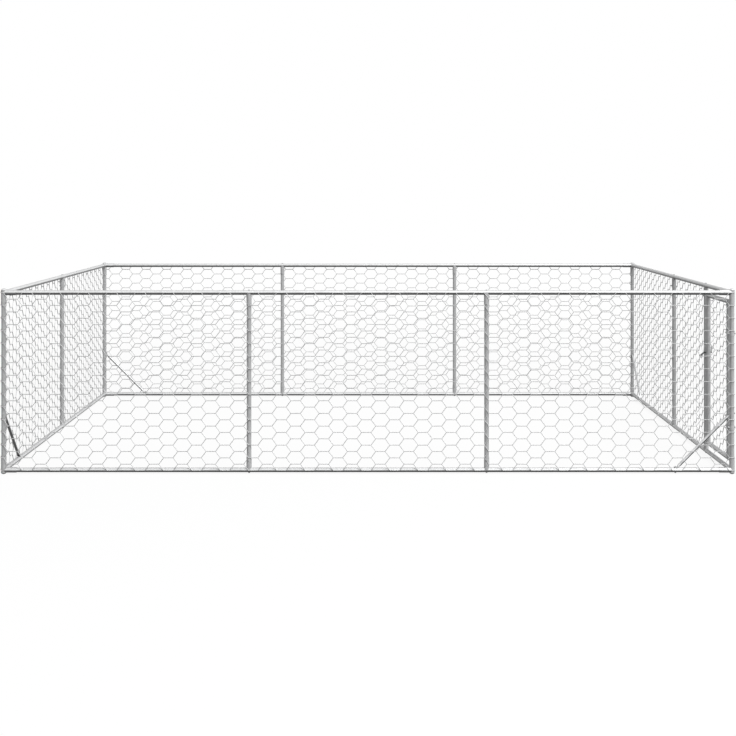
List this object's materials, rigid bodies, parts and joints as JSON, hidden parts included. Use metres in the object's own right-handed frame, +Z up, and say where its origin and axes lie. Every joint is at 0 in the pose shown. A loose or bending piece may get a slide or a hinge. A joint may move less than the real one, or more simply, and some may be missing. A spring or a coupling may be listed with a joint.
{
  "type": "outdoor dog kennel run",
  "caption": "Open-topped rectangular dog run of galvanised tube and corner sleeves, covered with hexagonal wire netting, with a hinged side gate and a swing-over fork latch.",
  "frame": {"origin": "on the ground, at the middle of the run's footprint", "axes": "+X along the longer side, towards the side with the gate; +Y from the front to the back; +Z up"},
  "size_m": [6.0242, 4.0138, 1.517],
  "materials": {
    "galvanised_tube": "galvanised satin",
    "galvanised_fitting": "galvanised satin",
    "netting_wire": "galvanised bright",
    "zinc_fastener": "zinc plated"
  },
  "bodies": {
    "frame": {"corner_post_front_left": "galvanised_tube", "corner_post_front_right": "galvanised_tube", "corner_post_back_left": "galvanised_tube", "corner_post_back_right": "galvanised_tube", "corner_fitting_front_left_bottom": "galvanised_fitting", "corner_fitting_front_left_top": "galvanised_fitting", "corner_fitting_front_right_bottom": "galvanised_fitting", "corner_fitting_front_right_top": "galvanised_fitting", "corner_fitting_back_left_bottom": "galvanised_fitting", "corner_fitting_back_left_top": "galvanised_fitting", "corner_fitting_back_right_bottom": "galvanised_fitting", "corner_fitting_back_right_top": "galvanised_fitting", "rail_front_bottom": "galvanised_tube", "rail_front_top": "galvanised_tube", "rail_back_bottom": "galvanised_tube", "rail_back_top": "galvanised_tube", "rail_left_bottom": "galvanised_tube", "rail_left_top": "galvanised_tube", "rail_right_bottom": "galvanised_tube", "rail_right_top": "galvanised_tube", "mid_post_front_left": "galvanised_tube", "mid_post_front_right": "galvanised_tube", "mid_post_back_left": "galvanised_tube", "mid_post_back_right": "galvanised_tube", "mid_post_left": "galvanised_tube", "mid_post_right": "galvanised_tube", "latch_post": "galvanised_tube", "post_sockets_bottom": "galvanised_fitting", "post_sockets_top": "galvanised_fitting", "brace_left": "galvanised_tube", "brace_back": "galvanised_tube", "brace_right": "galvanised_tube", "brace_front": "galvanised_tube", "net_front": "netting_wire", "net_back": "netting_wire", "net_left": "netting_wire", "net_right": "netting_wire", "saddle_bolts": "zinc_fastener", "saddle_nuts": "zinc_fastener", "socket_bolts": "zinc_fastener", "socket_nuts": "zinc_fastener", "brace_bolts": "zinc_fastener", "brace_nuts": "zinc_fastener", "post_hinge_lower": "galvanised_fitting", "post_hinge_upper": "galvanised_fitting", "post_hinge_bolts": "zinc_fastener"},
    "gate": {"gate_hinge_stile": "galvanised_tube", "gate_latch_stile": "galvanised_tube", "gate_bottom_rail": "galvanised_tube", "gate_top_rail": "galvanised_tube", "gate_net": "netting_wire", "gate_hinge_lower": "galvanised_fitting", "gate_hinge_upper": "galvanised_fitting", "gate_hinge_bolts": "zinc_fastener", "latch_collar": "galvanised_fitting", "latch_pivot_bolt": "zinc_fastener", "latch_pivot_nut": "zinc_fastener"},
    "fork": {"latch_fork": "galvanised_fitting"}
  },
  "joints": [
    {"name": "gate_swing", "type": "hinge", "parent": "frame", "child": "gate", "pos_m": [2.98, -1.935, 0.765], "axis": [0, 0, -1], "range_deg": [0, 105]},
    {"name": "fork_latch", "type": "hinge", "parent": "gate", "child": "fork", "pos_m": [2.98, -1.22485, 0.88], "axis": [-1, 0, 0], "range_deg": [0, 106.59]}
  ]
}
